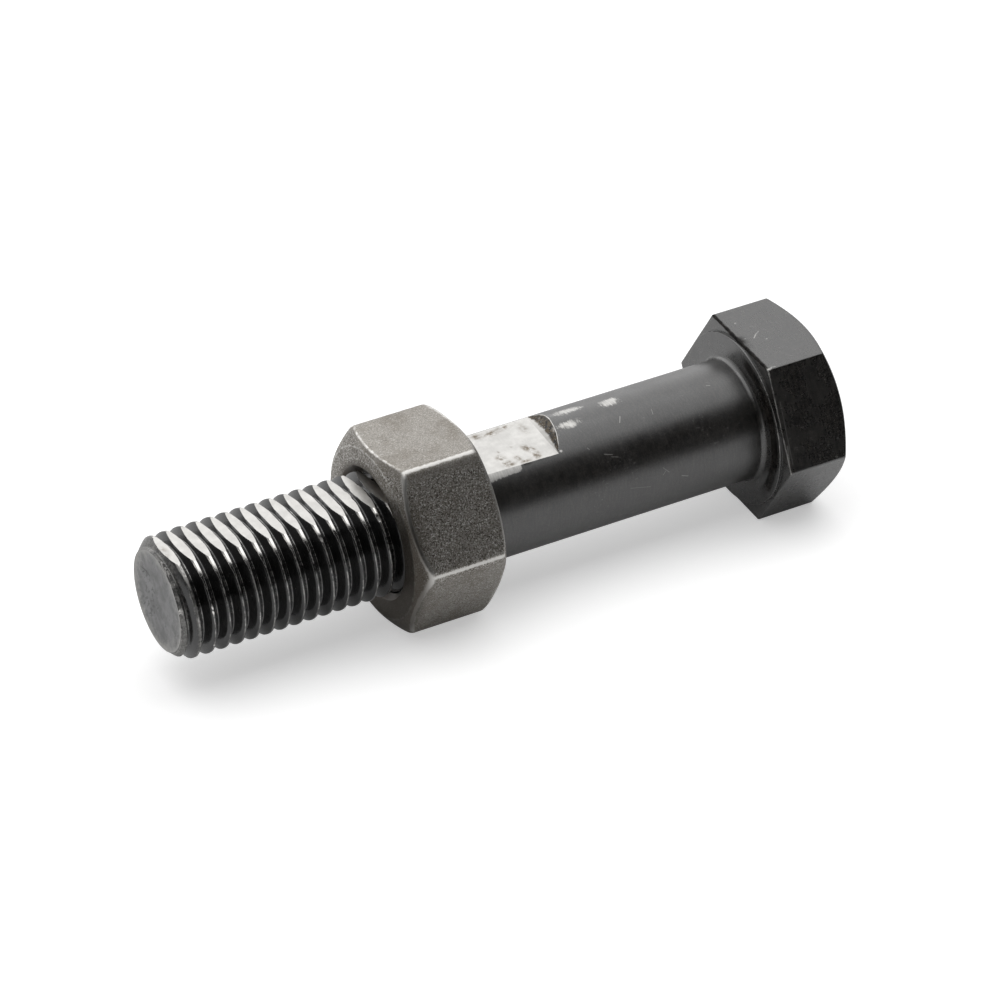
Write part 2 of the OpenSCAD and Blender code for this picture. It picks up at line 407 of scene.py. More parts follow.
def head_rows(b):
    """The head, from the middle of its top to the edge of its bearing face: a flat top, a cone at 30 degrees that
    cuts the corners, six sides, and an underside with a raised round face. Its stain takes the gloss from a ragged
    band along the upper edge of the underside, and is painted shade on the front of the bearing face's ring, which
    it leaves black."""
    angles = corner_angles(-b.head_turn)
    rho, near = hexagon(angles, -b.head_turn, b.across_flats, 0.3 * MM)
    top_r = b.across_flats / 2 - b.head_top_margin
    washer_r = b.across_flats / 2 - b.washer_margin
    cone = -b.head_h + np.maximum(rho - top_r, 0) * math.tan(math.radians(30))
    corners = (
        corner(CENTRE, -b.head_h), corner(top_r, -b.head_h), corner(rho, cone), corner(rho, -b.washer_h),
        corner(washer_r + 0.03 * MM, -b.washer_h), corner(washer_r, 0),
        corner(b.shank_r + b.fillet_r + 0.6 * MM, 0),
    )
    degrees = wrapped(angles)
    rough = 0.75 + 0.25 * np.sin(angles * 7 + 1) * np.sin(angles * 3)
    # The underside's edges are worn brighter on the front side: partly real wear, partly a painted highlight on that
    # side
    front = band(degrees, -97, -90, -34, -29)
    wears = [0, 0.10 * rough, 0.12 * rough, (0.16 + 0.66 * front) * rough, 0, 0.12 + 0.35 * front, 0]
    edge = b.head_edge
    cuts = [0, edge, edge, edge, 0.03 * MM, 0.12 * MM, 0]
    r, z, worn = profile_rows(corners, cuts, [0, 5, 2, 7, 1, 1, 4], wears)
    worn = np.maximum(worn, 0.12 * near * smooth(r - rho, -0.3 * MM, -0.1 * MM))
    off_edge = np.hypot(r - rho, z + b.washer_h)
    top = band(degrees, -36, -33, 26, 30) * (0.8 + 0.2 * np.sin(angles * 61))
    # A ragged band along the upper edge of the underside, which loses its gloss
    dull_edge = (1 - smooth(off_edge, 0.18 * MM, 0.58 * MM)) * top
    ring = band(r / MM, 11.55, 12.1, 13.2, 14.2) * smooth(z, -0.2 * MM, -0.05 * MM)
    # Painted shade: the front of the bearing face's ring loses its gloss and shows black
    painted_shade = 0.75 * ring * band(-degrees, 2, 26, 105, 150)
    return section(b, angles, r, z, worn=worn, stain=np.maximum(dull_edge, painted_shade))


def ring_rows(b, head_angle, flat_angle, z_before):
    """The fillet, a quarter circle from the bearing face into the shank, and the plain shank. Between the fillet
    and the wall of the flat the columns drift from the head's corners to the flat's edges."""
    t = np.linspace(0, math.pi / 2, 8)[1:]
    plain_z = np.concatenate([np.linspace(b.fillet_r, 18 * MM, 16)[1:], np.linspace(18 * MM, z_before, 34)[1:]])
    r = np.concatenate([b.shank_r + b.fillet_r * (1 - np.sin(t)), np.full(len(plain_z), b.shank_r)])[:, None]
    z = np.concatenate([b.fillet_r * (1 - np.cos(t)), plain_z])[:, None]
    drift = smooth(z, 2 * MM, 26 * MM)
    return section(b, head_angle * (1 - drift) + flat_angle * drift, r, z)


def wall_rows(b, angle, half, z_before, z_after):
    """Rows across the wall that ends the flat, which bend so that one lies on its rim and one on its foot. The
    wall rises from its foot at its slope, a little lumpy, until it meets the shank; its stain tells how far up a
    point of it lies, and its rim is worn bright."""
    off = np.mod(angle + b.flat_turn + math.pi, TAU) - math.pi
    foot, rim, slope = foot_and_rim(off, b)
    stops = np.stack([np.full(COLUMNS, z_before), rim, foot, np.full(COLUMNS, z_after)])
    towards = np.concatenate([
        np.linspace(0, 0.97, 13)[1:], [0.988, 1, 1.04], np.linspace(1.1, 2, 10), np.linspace(2, 3, 7)[1:],
    ])
    low = np.minimum(np.floor(towards).astype(int), 2)
    part = (towards - low)[:, None]
    z = stops[low] * (1 - part) + stops[low + 1] * part
    up = (foot - z).clip(0) * slope
    lumps = 0.05 * MM * np.sin(z * 9000 + off * 31) * np.sin(off * 57 + z * 5100) * smooth(up, 0, 0.3 * MM)
    cut = (flat_height(np.maximum(z, foot), b) + up + lumps) / np.maximum(np.cos(off), 0.2)
    r = np.minimum(b.shank_r, np.where(np.abs(off) < 0.8, cut, b.shank_r))
    on_wall = (z < foot - TINY) & (r < b.shank_r - TINY)
    on_flat = (z > foot - TINY) & (cut < b.shank_r + 0.04 * MM) & (np.abs(off) < half + 0.004)
    stain = np.where(on_wall, up / np.maximum(foot - rim, 1e-6) / slope, stains(angle, r, z, b))
    bright = np.exp(-((z - rim) / (0.045 * MM)) ** 2) * smooth(off, -0.50, -0.38) * (np.abs(off) < half)
    worn = np.maximum(rub_marks(z / MM, wrapped(angle)), 0.9 * bright)
    return section(b, angle, r, z, on_flat, on_wall, worn, stain)


def flat_cut(angle, z, b):
    """Radius at which the flat cuts each column, its height over the cosine of the angle, and which columns face
    the flat."""
    facing = np.cos(angle + b.flat_turn)
    return flat_height(z, b) / np.maximum(facing, 0.2), facing > 0.5


def strip_rows(b, z_after, z_thread):
    """The plain shank with the flat along it, from the wall to the thread."""
    z = np.linspace(z_after, z_thread, 34)[1:, None]
    angle = column_angles(np.arccos(flat_height(z[:, 0], b) / b.shank_r), b)
    cut, inside = flat_cut(angle, z, b)
    r = np.where(inside, np.minimum(b.shank_r, cut), b.shank_r)
    return section(b, angle, r, z, flat=inside & (cut < b.shank_r + 2 * TINY))


def helix(b, low, high):
    """Rows of a thread that fills the heights from low to high: each row's place across the profile, and the
    height of its crest straight up. A row climbs one pitch in a turn and goes on in the row one pitch further."""
    first_turn = math.ceil((b.length - b.first_crest - low) / b.pitch + 0.5)
    start = b.length - b.first_crest - first_turn * b.pitch
    turns = math.ceil((high - start) / b.pitch + 0.7)
    steps = np.tile(np.array(PITCH_STEPS), turns) * b.pitch
    return steps, start + np.repeat(np.arange(turns), len(PITCH_STEPS)) * b.pitch


def thread_rows(b, z_thread, before):
    """Helical rows from the last row before the thread to the end of the bolt, cut by the flat and dented."""
    steps, crest_z = helix(b, z_thread, b.length)
    here_z = np.clip(crest_z + steps - b.flat_turn / TAU * b.pitch, z_thread, b.length)
    reach = np.arccos(np.clip(flat_height(here_z, b) / bolt_radius(here_z, steps, b), -1, 1))
    angle = column_angles(np.maximum(reach, math.radians(7)), b)
    angle[here_z <= z_thread] = before
    climbing = (crest_z + steps)[:, None] + angle / TAU * b.pitch
    z = np.clip(climbing, z_thread, b.length)
    angle = np.where((climbing[:, :1] <= z_thread) & (z <= z_thread), before, angle)
    r = np.where(z <= z_thread, b.shank_r, bolt_radius(z, steps[:, None], b))
    cut, inside = flat_cut(angle, z, b)
    flat = inside & (cut < r + 30 * TINY)
    dented, highlights_and_wear = nicks(z, angle, steps[:, None], b)
    r = np.where(inside, np.minimum(r, cut), r) - dented * 0.10 * MM * ~flat
    r = np.where(z >= b.length, b.end_r, r)
    # The thread's worn attribute carries painted highlights along crests and roots, as well as worn flecks and chips
    worn = highlights_and_wear * smooth(z, z_thread + 2 * MM, z_thread + 4 * MM)
    stain = np.where(flat, 0.6 * stains(angle, r, z, b), dented)
    return section(b, angle, r, z, flat, False, worn, stain)


def nicks(z, angle, offset, b):
    """Dents of the thread, and its painted highlights and wear. The first turns are dented more towards the threaded
    end, now more and now less round the turn, and two dents have fixed places. The painted highlights are a thin
    line along every crest and every root and a streak as wide as the crest just below the flat; the wear is flecks
    on the first crests and chips at the end."""
    from_end = (b.length - z) / MM
    turned = wrapped(angle)
    ragged = 0.5 + 0.5 * np.sin(angle * 9 + from_end * 2.1) * np.sin(angle * 23 + from_end) * np.sin(angle * 41 + 1)
    dents = blob(from_end, turned, 24.2, -44, 0.9, 2.5) + blob(from_end, turned, 34.6, -42, 0.9, 2.5)
    first = (1 - smooth(from_end, 2.2, 6.0)) * (0.40 + 0.45 * ragged)
    end = (1 - smooth(from_end, 1.0, 1.7)) * (0.36 + 0.3 * ragged + 0.25 * smooth(-turned, 95, 130))
    dented = np.maximum(np.exp(-(offset / (0.42 * MM)) ** 2) * np.clip(first + dents, 0, 1), end)
    uneven = 0.85 + 0.15 * np.sin(angle * 3 + z * 700) * np.sin(angle * 11 + z * 300)
    # Painted highlight: a thin bright line along every crest and every root
    line = 0.42 * np.exp(-(offset / (0.15 * MM)) ** 2) + 0.36 * smooth(np.abs(offset), 1.10 * MM, 1.22 * MM)
    flecks = smooth(ragged, 0.60, 0.80) * (1 - smooth(from_end, 5, 9)) * np.exp(-(offset / (0.16 * MM)) ** 2)
    broken = 0.5 + 0.5 * np.sin(angle * 37) * np.sin(angle * 13 + 2)
    chips = smooth(broken, 0.45, 0.65) * np.exp(-((from_end - 0.25) / 0.35) ** 2) * band(-turned, 8, 16, 72, 84)
    # Painted highlight: a streak as wide as the crest just below the flat, on the upper front side
    taper = 0.38 * MM * np.clip((turned + 54) / 20, 0, 1) ** 0.6
    streak = (1 - smooth(np.abs(offset), taper - 0.06 * MM, taper)) * band(turned, -54, -50, -22, -18)
    return dented, np.maximum.reduce(np.broadcast_arrays(line * uneven, flecks, chips, streak))


def disc_rows(b, angle):
    """The disc at the threaded end, slightly dished, and worn at its rim."""
    r = np.array([0.985, 0.95, 0.9, 0.8, 0.6, 0.4, 0.2, CENTRE])[:, None] * b.end_r
    z = b.length - 0.1 * MM * smooth(b.end_r - r, 0, 0.5 * MM)
    return section(b, angle, r, z, worn=np.array([0.7, 0.5, 0.38, 0.28, 0.16, 0, 0, 0])[:, None])


def build_bolt(b, materials):
    """The bolt in one skin: head, fillet, shank with the wall of the flat, helical thread and end disc."""
    oxide, oiled, milled, dark_wall, end_face = range(5)
    z_thread = b.length - b.thread_len
    z_before, z_after = b.flat_start - 4.5 * MM, b.flat_start + 1.6 * MM
    half = math.acos(flat_height(b.flat_start, b) / b.shank_r)
    flat_angle = column_angles([half], b)[0]
    head = head_rows(b)
    shank = ring_rows(b, head.angle[-1], flat_angle, z_before)
    wall = wall_rows(b, flat_angle, half, z_before, z_after)
    strip = strip_rows(b, z_after, z_thread)
    thread = thread_rows(b, z_thread, strip.angle[-1])
    parts = (head, shank, wall, strip, thread, disc_rows(b, thread.angle[-1]))
    angle, r, z, flat, step, worn, stain = (np.concatenate(arrays) for arrays in zip(*parts))
    first, past = np.cumsum([len(part.z) for part in parts])[3:5]
    onwards = np.arange(len(z))
    onwards[first:past] = np.minimum(onwards[first:past] + len(PITCH_STEPS), past - 1)

    def faces_of(mask, rule):
        return rule(rule(mask[:-1], mask[1:]), rule(np.roll(mask[:-1], -1, 1), np.roll(mask[1:], -1, 1)))

    finish = np.full((len(z) - 1, COLUMNS), oxide)
    finish[first:past] = oiled
    finish[past - 1:] = end_face
    finish[faces_of(flat, np.logical_and)] = milled
    finish[faces_of(step, np.logical_or)] = dark_wall
    return skin("hex_bolt", axis_points(angle, r, z), onwards, {"worn": worn, "stain": stain}, finish, materials)


def build_nut(b, s, materials):
    """The nut in one skin, shaped like a ring: chamfered hexagon outside, inner thread in the bore, which lies
    over the bolt's own thread with a small play all round. Its stain is grime round the mouth of the bore, and on
    the lower side of the face towards the threaded end it is partly grime and partly a painted reflection of the
    black bolt."""
    steel, inside = range(2)
    angles = corner_angles(s.turn)
    rho, near = hexagon(angles, s.turn, b.across_flats, 2.0 * MM)
    face_r = b.across_flats / 2 - s.face_margin
    beyond = np.maximum(rho - face_r, 0)
    low, high = s.near, s.near + s.height
    corners = (
        corner(s.mouth_r, low), corner(face_r, low), corner(rho, low + beyond * math.tan(math.radians(20))),
        corner(rho, high - beyond * math.tan(math.radians(30))), corner(face_r, high), corner(s.mouth_r, high),
    )
    # The tips of the corners are blunter than the edges between them
    tip = np.power(near, 0.03)
    cuts = [0, 0.22 * MM, s.edge * (1 + 1.8 * tip), s.edge * (0.85 + 0.9 * tip), 0.22 * MM, 0]
    near_wear = (0.6 + 0.25 * np.sin(angles * 5)) * (1 - 0.25 * tip)
    # Edges of the face towards the threaded end are worn brighter at the front: partly real wear, partly a painted
    # highlight on that side
    front = band(wrapped(angles), -150, -140, -28, -24)
    far_wear = (0.50 + 0.7 * front) * (0.92 + 0.08 * np.sin(angles * 4 + 1)) * (1 - 0.45 * tip)
    outer_r, outer_z, worn = profile_rows(corners, cuts, [0, 4, 3, 8, 3, 4], [0, 0.5, near_wear, far_wear, 0.42, 0])
    worn = np.maximum(worn, 0.75 * np.power(near, 0.55) * smooth(outer_r - rho, -0.3 * MM, -0.1 * MM))

    steps, crest_z = (rows[::-1, None] for rows in helix(b, low, high))
    bore_z = np.clip(crest_z + steps + angles / TAU * b.pitch, low, high)
    thread = b.shank_r - b.crest_drop - thread_drop(steps, b) + s.play
    done = smooth(bore_z, b.length - b.thread_len, b.length - b.thread_len + b.runout)
    bore_r = soft_max(thread, s.inner_r, 0.05 * MM) * done + (b.shank_r + s.play) * (1 - done)
    bore_r = np.maximum(bore_r, s.mouth_r - np.minimum(bore_z - low, high - bore_z))

    r = np.concatenate([outer_r, bore_r, outer_r[:1]])
    z = np.concatenate([outer_z, bore_z, outer_z[:1]])
    first, past = len(outer_z), len(outer_z) + len(bore_z)
    onwards = np.arange(len(z))
    onwards[first:past] = np.maximum(onwards[first:past] - len(PITCH_STEPS), first)
    finish = np.full((len(z) - 1, COLUMNS), steel)
    finish[first:past] = inside
    # Partly grime, partly a painted reflection of the black bolt: darker on the lower side of the face towards the
    # threaded end; the ring round the mouth of the bore is grime
    upwards = outer_r * (0.75 * np.sin(angles) + 0.65 * np.cos(angles))
    grime_and_painted_reflection = smooth(-upwards, -4 * MM, 6 * MM) * smooth(outer_z, high - 2.4 * MM, high - 0.5 * MM)
    grime_and_painted_reflection = np.maximum(grime_and_painted_reflection, 0.9 * smooth(b.shank_r + 2.2 * MM - outer_r, 0, 1.4 * MM))
    fields = {
        "worn": np.concatenate([worn, 0 * bore_z, 0 * worn[:1]]),
        "stain": np.concatenate([grime_and_painted_reflection, np.ones_like(bore_z), grime_and_painted_reflection[:1]]),
    }
    return skin("hex_nut", axis_points(angles, r, z), onwards, fields, finish, materials)


# Finishes. A helper that is given a socket adds its nodes to the tree of that socket.

def fill(tree, socket, value):
    """Link a socket to another one, or set its value."""
    if isinstance(value, bpy.types.NodeSocket):
        tree.links.new(value, socket)
    else:
        socket.default_value = value


def spaced(inputs):
    """Inputs whose names are written with underscores, under the names of their sockets."""
    return {key.replace("_", " "): value for key, value in inputs.items()}


def add(tree, kind, inputs=(), **settings):
    """A new node with its settings, and its inputs linked or set."""
    node = tree.nodes.new(kind)
    for key, value in settings.items():
        setattr(node, key, value)
    for key, value in dict(inputs).items():
        fill(tree, node.inputs[key], value)
    return node


def maths(operation, a, b, clamp=True):
    """Result of an operation on two values, one of them at least a socket, kept from 0 to 1 if clamp is set."""
    tree = next(value for value in (a, b) if isinstance(value, bpy.types.NodeSocket)).id_data
    return add(tree, "ShaderNodeMath", {0: a, 1: b}, operation=operation, use_clamp=clamp).outputs[0]


def times(*values):
    return reduce(partial(maths, "MULTIPLY"), values)


def most(*values):
    return reduce(partial(maths, "MAXIMUM"), values)


def plus(a, b):
    return maths("ADD", a, b)


def minus(a, b):
    return maths("SUBTRACT", a, b)


def noise(vector, scale, detail=3.0, rough=0.6):
    """Noise from 0 to 1 at a vector."""
    inputs = {"Vector": vector, "Scale": scale, "Detail": detail, "Roughness": rough}
    return add(vector.id_data, "ShaderNodeTexNoise", inputs).outputs[0]


def ramp(value, low, high, to_low=0.0, to_high=1.0):
    """A smooth step that takes the values from low to high to those from to_low to to_high."""
    inputs = {"Value": value, "From Min": low, "From Max": high, "To Min": to_low, "To Max": to_high}
    return add(value.id_data, "ShaderNodeMapRange", inputs, interpolation_type="SMOOTHSTEP").outputs["Result"]


def blend(mask, a, b):
    """Colour a where the mask is 0 and colour b where it is 1."""
    def colour(c):
        return c if isinstance(c, bpy.types.NodeSocket) else (*c, 1.0)
    return add(mask.id_data, "ShaderNodeMix", {0: mask, 6: colour(a), 7: colour(b)}, data_type="RGBA").outputs[2]


def tint(colour, *shares):
    """A colour times one share, or times a share for each channel."""
    return [c * s for c, s in zip(colour, shares * 3)]


def stretched(vector, *scale):
    """A vector scaled along its three axes, so that a texture is drawn out where the scale is small."""
    return add(vector.id_data, "ShaderNodeMapping", {"Vector": vector, "Scale": scale}).outputs[0]


def part_of(vector, axis):
    return add(vector.id_data, "ShaderNodeSeparateXYZ", {"Vector": vector}).outputs[axis]


def group(name, vectors=("Vector",), **floats):
    """A new node group that makes a mask from vectors and numbers: its tree, its inputs and the mask's socket."""
    tree = bpy.data.node_groups.new(name, "ShaderNodeTree")
    for title in vectors:
        tree.interface.new_socket(name=title, in_out="INPUT", socket_type="NodeSocketVector")
    for title, value in spaced(floats).items():
        socket = tree.interface.new_socket(name=title, in_out="INPUT", socket_type="NodeSocketFloat")
        socket.default_value = value
    tree.interface.new_socket(name="Mask", in_out="OUTPUT", socket_type="NodeSocketFloat")
    start, end = add(tree, "NodeGroupInput"), add(tree, "NodeGroupOutput")
    return tree, start.outputs[:len(vectors) + len(floats)], end.inputs["Mask"]


def speckle_group():
    """Fine speckle: noise at the given scale, cut at a level, so that only its peaks stay."""
    tree, (place, scale, level), mask = group("Speckle", Scale=1500.0, Level=0.62)
    fill(tree, mask, ramp(noise(place, scale, 2.0), level, plus(level, 0.07)))
    return tree


def scratch_group():
    """Short thin scratches: noise drawn out along the direction that a turn gives, cut to its peaks, and only
    where a coarser noise is high."""
    tree, (place, scale, level, angle), mask = group("Scratches", Scale=400.0, Level=0.70, Turn=0.0)
    inputs = {"Vector": place, "Angle": angle, "Axis": (0.3, 0.5, 0.8)}
    turned = add(tree, "ShaderNodeVectorRotate", inputs, rotation_type="AXIS_ANGLE").outputs[0]
    drawn = noise(stretched(turned, 0.12, 1.6, 1.6), scale, 1.0, 0.4)
    patches = ramp(noise(place, 160.0, 1.0, 0.4), 0.52, 0.62)
    fill(tree, mask, times(ramp(drawn, level, plus(level, 0.03)), patches))
    return tree


def wear_group():
    """Where the surface is worn: the piece's own worn attribute, broken up by noise at two scales."""
    tree, (place, worn, break_up), mask = group("Wear", Worn=0.0, Break_up=0.5)
    both = plus(times(noise(place, 900.0, 4.0, 0.65), 0.65), times(noise(place, 4200.0, 2.0), 0.35))
    fill(tree, mask, ramp(minus(worn, times(ramp(both, 0.32, 0.68), break_up)), 0.05, 0.45))
    return tree


def stroke_group():
    """A thin stroke from one point to another: 1 close to the straight line between them, 0 beyond its width."""
    tree, (place, begin, end, width), mask = group("Stroke", ("Vector", "From", "To"), Width=0.0001)

    def vectors(operation, output, *inputs):
        return add(tree, "ShaderNodeVectorMath", enumerate(inputs), operation=operation).outputs[output]

    away = vectors("SUBTRACT", "Vector", place, begin)
    line = vectors("SUBTRACT", "Vector", end, begin)
    along = maths("DIVIDE", vectors("DOT_PRODUCT", "Value", away, line), vectors("DOT_PRODUCT", "Value", line, line))
    nearest = add(tree, "ShaderNodeVectorMath", {0: line, "Scale": along}, operation="SCALE").outputs[0]
    off = vectors("LENGTH", "Value", vectors("SUBTRACT", "Vector", away, nearest))
    fill(tree, mask, ramp(off, width, times(width, 0.4)))
    return tree


GROUPS = {"Speckle": speckle_group, "Scratches": scratch_group, "Wear": wear_group, "Stroke": stroke_group}


def use(name, place, **inputs):
    """The mask of a shared group, which is made when it is first used, with its other inputs linked or set."""
    shared = bpy.data.node_groups.get(name) or GROUPS[name]()
    return add(place.id_data, "ShaderNodeGroup", {"Vector": place, **spaced(inputs)}, node_tree=shared).outputs[0]


def stroke(place, begin, end, width):
    """The mask of a stroke between two points in millimetres, its half-width in millimetres too."""
    return use("Stroke", place, From=[x * MM for x in begin], To=[x * MM for x in end], Width=width * MM)


def field(place, name):
    return add(place.id_data, "ShaderNodeAttribute", attribute_name=name).outputs["Fac"]


def bare_tree(owner):
    """The node tree of a material or a world, emptied."""
    owner.use_nodes = True
    owner.node_tree.nodes.clear()
    return owner.node_tree


def new_finish(name):
    """A new material, and the place on its object that its textures go by."""
    material = bpy.data.materials.new(name)
    return material, add(bare_tree(material), "ShaderNodeTexCoord").outputs["Object"]


def finish_off(material, colour, metal, rough, height, bump, **others):
    """The material with its shader, which takes a bump from the height, and its other sockets as named."""
    tree = material.node_tree
    normal = add(tree, "ShaderNodeBump", {"Height": height, "Strength": bump, "Distance": 0.08 * MM}).outputs[0]
    inputs = {"Base Color": colour, "Metallic": metal, "Roughness": rough, "Normal": normal, **spaced(others)}
    shader = add(tree, "ShaderNodeBsdfPrincipled", inputs)
    add(tree, "ShaderNodeOutputMaterial", {"Surface": shader.outputs[0]})
    return material


def on_shank(z, degrees):
    """Point of the shank's surface, in millimetres, at a height and an angle from straight up."""
    return -z, 10 * math.sin(math.radians(degrees)), 10 * math.cos(math.radians(degrees))


# Scratches and nicks: two ends in millimetres, half-width in millimetres and strength
STROKES = (
    ((3.07, -0.90, 14.70), (3.91, -0.11, 14.74), 0.13, 0.8), ((3.91, -0.11, 14.74), (4.69, 0.41, 14.77), 0.11, 0.6),
    ((4.68, -2.04, 14.64), (4.80, -1.95, 14.64), 0.17, 0.5), ((1.66, -0.48, 14.73), (1.75, -0.40, 14.73), 0.13, 0.5),
    ((2.45, 3.88, 14.97), (2.60, 3.95, 14.97), 0.17, 0.6), ((0.30, -9.15, 14.25), (0.80, -9.20, 14.22), 0.34, 0.9),
    ((0.50, -9.25, 14.2), (0.52, -9.75, 13.4), 0.20, 0.8), ((1.10, -9.20, 14.22), (1.35, -8.90, 14.30), 0.16, 0.7),
    ((1.35, -8.90, 14.30), (2.00, -9.00, 14.26), 0.13, 0.6), ((1.35, -11.80, 9.40), (1.16, -16.38, 0.26), 0.10, 0.22),
    ((0.90, -15.00, 3.00), (0.62, -16.20, 0.60), 0.22, 0.22), (on_shank(14.2, -92.5), on_shank(15.3, -90), 0.10, 0.5),
    (on_shank(22.6, -18), on_shank(23.2, -24), 0.11, 0.6), (on_shank(17.4, -26), on_shank(17.2, -21), 0.09, 0.4),
    (on_shank(27.9, -48), on_shank(26.6, -50.5), 0.09, 0.45), (on_shank(26.9, -52), on_shank(25.8, -54), 0.08, 0.35),
    (on_shank(17.6, -82), on_shank(18.6, -76), 0.10, 0.3), (on_shank(18.2, -80), on_shank(18.7, -83), 0.09, 0.3),
    (on_shank(24.6, -86), on_shank(21.0, -91), 0.07, 0.25), (on_shank(30.2, -38), on_shank(30.0, -40), 0.10, 0.4),
    (on_shank(6.5, -14), on_shank(6.0, -15), 0.14, 0.4),
)
# Dark scratches of the disc: two ends in millimetres, and the half-width of all
CUTS = (
    ((-101.4, 5.32, 3.04), (-101.4, 3.53, 3.31)), ((-101.4, 4.23, 3.34), (-101.4, 2.50, 3.11)),
    ((-101.4, 5.06, 2.27), (-101.4, 4.28, 2.94)), ((-101.4, 1.68, 1.02), (-101.4, 0.90, 0.85)),
)
CUT_WIDTH = 0.14


def black_oxide(f):
    """Matte black coating: a faint mottle, tiny light specks and scratches, bare steel where it is worn, partly a
    painted highlight on the head's front edges, and no gloss where the stain attribute is high: brown marks, a band
    on the head's underside, and painted shade on the front of its bearing face."""
    material, place = new_finish("black_oxide")
    mottle = noise(place, 260.0, 5.0)
    grain = noise(stretched(place, 0.1, 1.0, 1.0), 2600.0)
    streaks = noise(stretched(place, 1.0, 0.18, 0.18), 3600.0)
    fine = plus(times(noise(place, 4200.0, 3.0, 0.7), 0.6), times(streaks, 0.4))
    along = part_of(place, "X")
    specks = use("Speckle", place, Scale=3600.0, Level=0.64)
    lines = use("Scratches", place, Scale=1500.0, Level=0.70, Turn=0.6)
    cross = use("Scratches", place, Scale=1700.0, Level=0.71, Turn=2.1)
    scuffed = minus(field(place, "worn"), ramp(streaks, 0.35, 0.65, 0.0, 0.20))
    worn = times(use("Wear", place, Worn=scuffed, Break_up=0.28), ramp(streaks, 0.3, 0.7, 1.0, 0.75))
    marks = most(times(specks, 0.05), times(most(lines, cross), 0.14))
    for begin, end, width, strength in STROKES:
        marks = most(marks, times(stroke(place, begin, end, width), strength))
    colour = blend(ramp(fine, 0.42, 0.62), tint(f.oxide, 0.2), tint(f.oxide, 4.6, 4.1, 3.5))
    colour = blend(marks, colour, tint(f.bare, 0.7))
    colour = blend(worn, colour, tint(f.bare, 0.85))
    # Painted shade: the stain attribute takes the gloss from the front of the head's bearing face
    gloss = ramp(times(field(place, "stain"), ramp(mottle, 0.35, 0.55, 0.7, 1.1)), 0.0, 0.6, 0.5, 0.02)
    rough = plus(ramp(mottle, 0.3, 0.7, 0.26, 0.33), times(fine, 0.08))
    rough = times(rough, ramp(along, -1.4 * MM, -0.4 * MM, 1.0, 0.82))
    height = plus(times(fine, 0.5), times(grain, ramp(along, 0.3 * MM, 0.8 * MM), 0.5))
    metal = most(worn, times(marks, 0.5))
    return finish_off(material, colour, metal, rough, height, 0.45, IOR=1.95, Specular_IOR_Level=gloss)


def oiled_black(f):
    """Glossy oiled black of the thread, bright where it is worn and along its painted highlights, and grey where
    the first turns are dented.
    """
    material, place = new_finish("oiled_black")
    mottle = noise(place, 420.0, 4.0)
    fine = noise(place, 3600.0, 2.0)
    specks = use("Speckle", place, Scale=3000.0, Level=0.70)
    worn = use("Wear", place, Worn=field(place, "worn"), Break_up=0.25)
    dull = use("Wear", place, Worn=field(place, "stain"), Break_up=0.35)
    colour = blend(ramp(mottle, 0.35, 0.7), f.oil, tint(f.oil, 2.2))
    colour = blend(times(specks, 0.5), colour, tint(f.bare, 0.35))
    # Painted highlight and wear: bright along crest and root lines, the streak below the flat, flecks and chips
    colour = blend(worn, colour, tint(f.bare, 1.35))
    colour = blend(times(dull, ramp(fine, 0.35, 0.65, 0.5, 1.0)), colour, tint(f.bare, 0.42))
    rough = plus(ramp(mottle, 0.3, 0.7, 0.12, 0.22), times(dull, 0.25))
    height = plus(times(fine, 0.35), times(mottle, 0.65))
    return finish_off(material, colour, most(worn, dull), rough, height, 0.2, IOR=1.7)


def milled_steel(f):
    """Bare milled steel: bright satin with a fine grain, brown stains where the stain attribute says."""
    material, place = new_finish("milled_steel")
    grain = noise(stretched(place, 1.0, 0.12, 1.0), 3800.0)
    mottle = noise(place, 520.0, 5.0, 0.65)
    stain = times(ramp(noise(place, 1300.0, 5.0, 0.7), 0.36, 0.66), ramp(field(place, "stain"), 0.05, 0.85))
    colour = blend(ramp(mottle, 0.3, 0.75), tint(f.bare, 0.78), tint(f.bare, 0.96))
    colour = blend(stain, colour, f.stain)
    rough = plus(ramp(grain, 0.3, 0.7, 0.30, 0.40), times(stain, 0.25))
    return finish_off(material, colour, minus(1.0, times(stain, 0.7)), rough, grain, 0.12)


def dark_wall_step(f):
    """The wall at the end of the flat: torn steel, bright at its foot, black and brown above, with a bright rim."""
    material, place = new_finish("dark_wall_step")
    mottle = noise(place, 1500.0, 5.0, 0.7)
    torn = plus(field(place, "stain"), times(minus(mottle, 0.3), 0.5))
    # Black and brown higher up the wall, bright at its foot
    dark_above = ramp(torn, 0.32, 0.50)
    glint = use("Speckle", place, Scale=2600.0, Level=0.60)
    rim = use("Wear", place, Worn=field(place, "worn"), Break_up=0.2)
    dark = blend(ramp(mottle, 0.38, 0.62), f.oxide, tint(f.stain, 0.6))
    dark = blend(times(glint, 0.45), dark, tint(f.bare, 0.5))
    colour = blend(rim, blend(dark_above, tint(f.bare, 0.85), dark), f.bare)
    metal = most(minus(1.0, times(dark_above, 0.7)), rim)
    height = plus(times(mottle, 0.6), times(noise(place, 4200.0), 0.4))
    return finish_off(material, colour, metal, 0.5, height, 0.5)


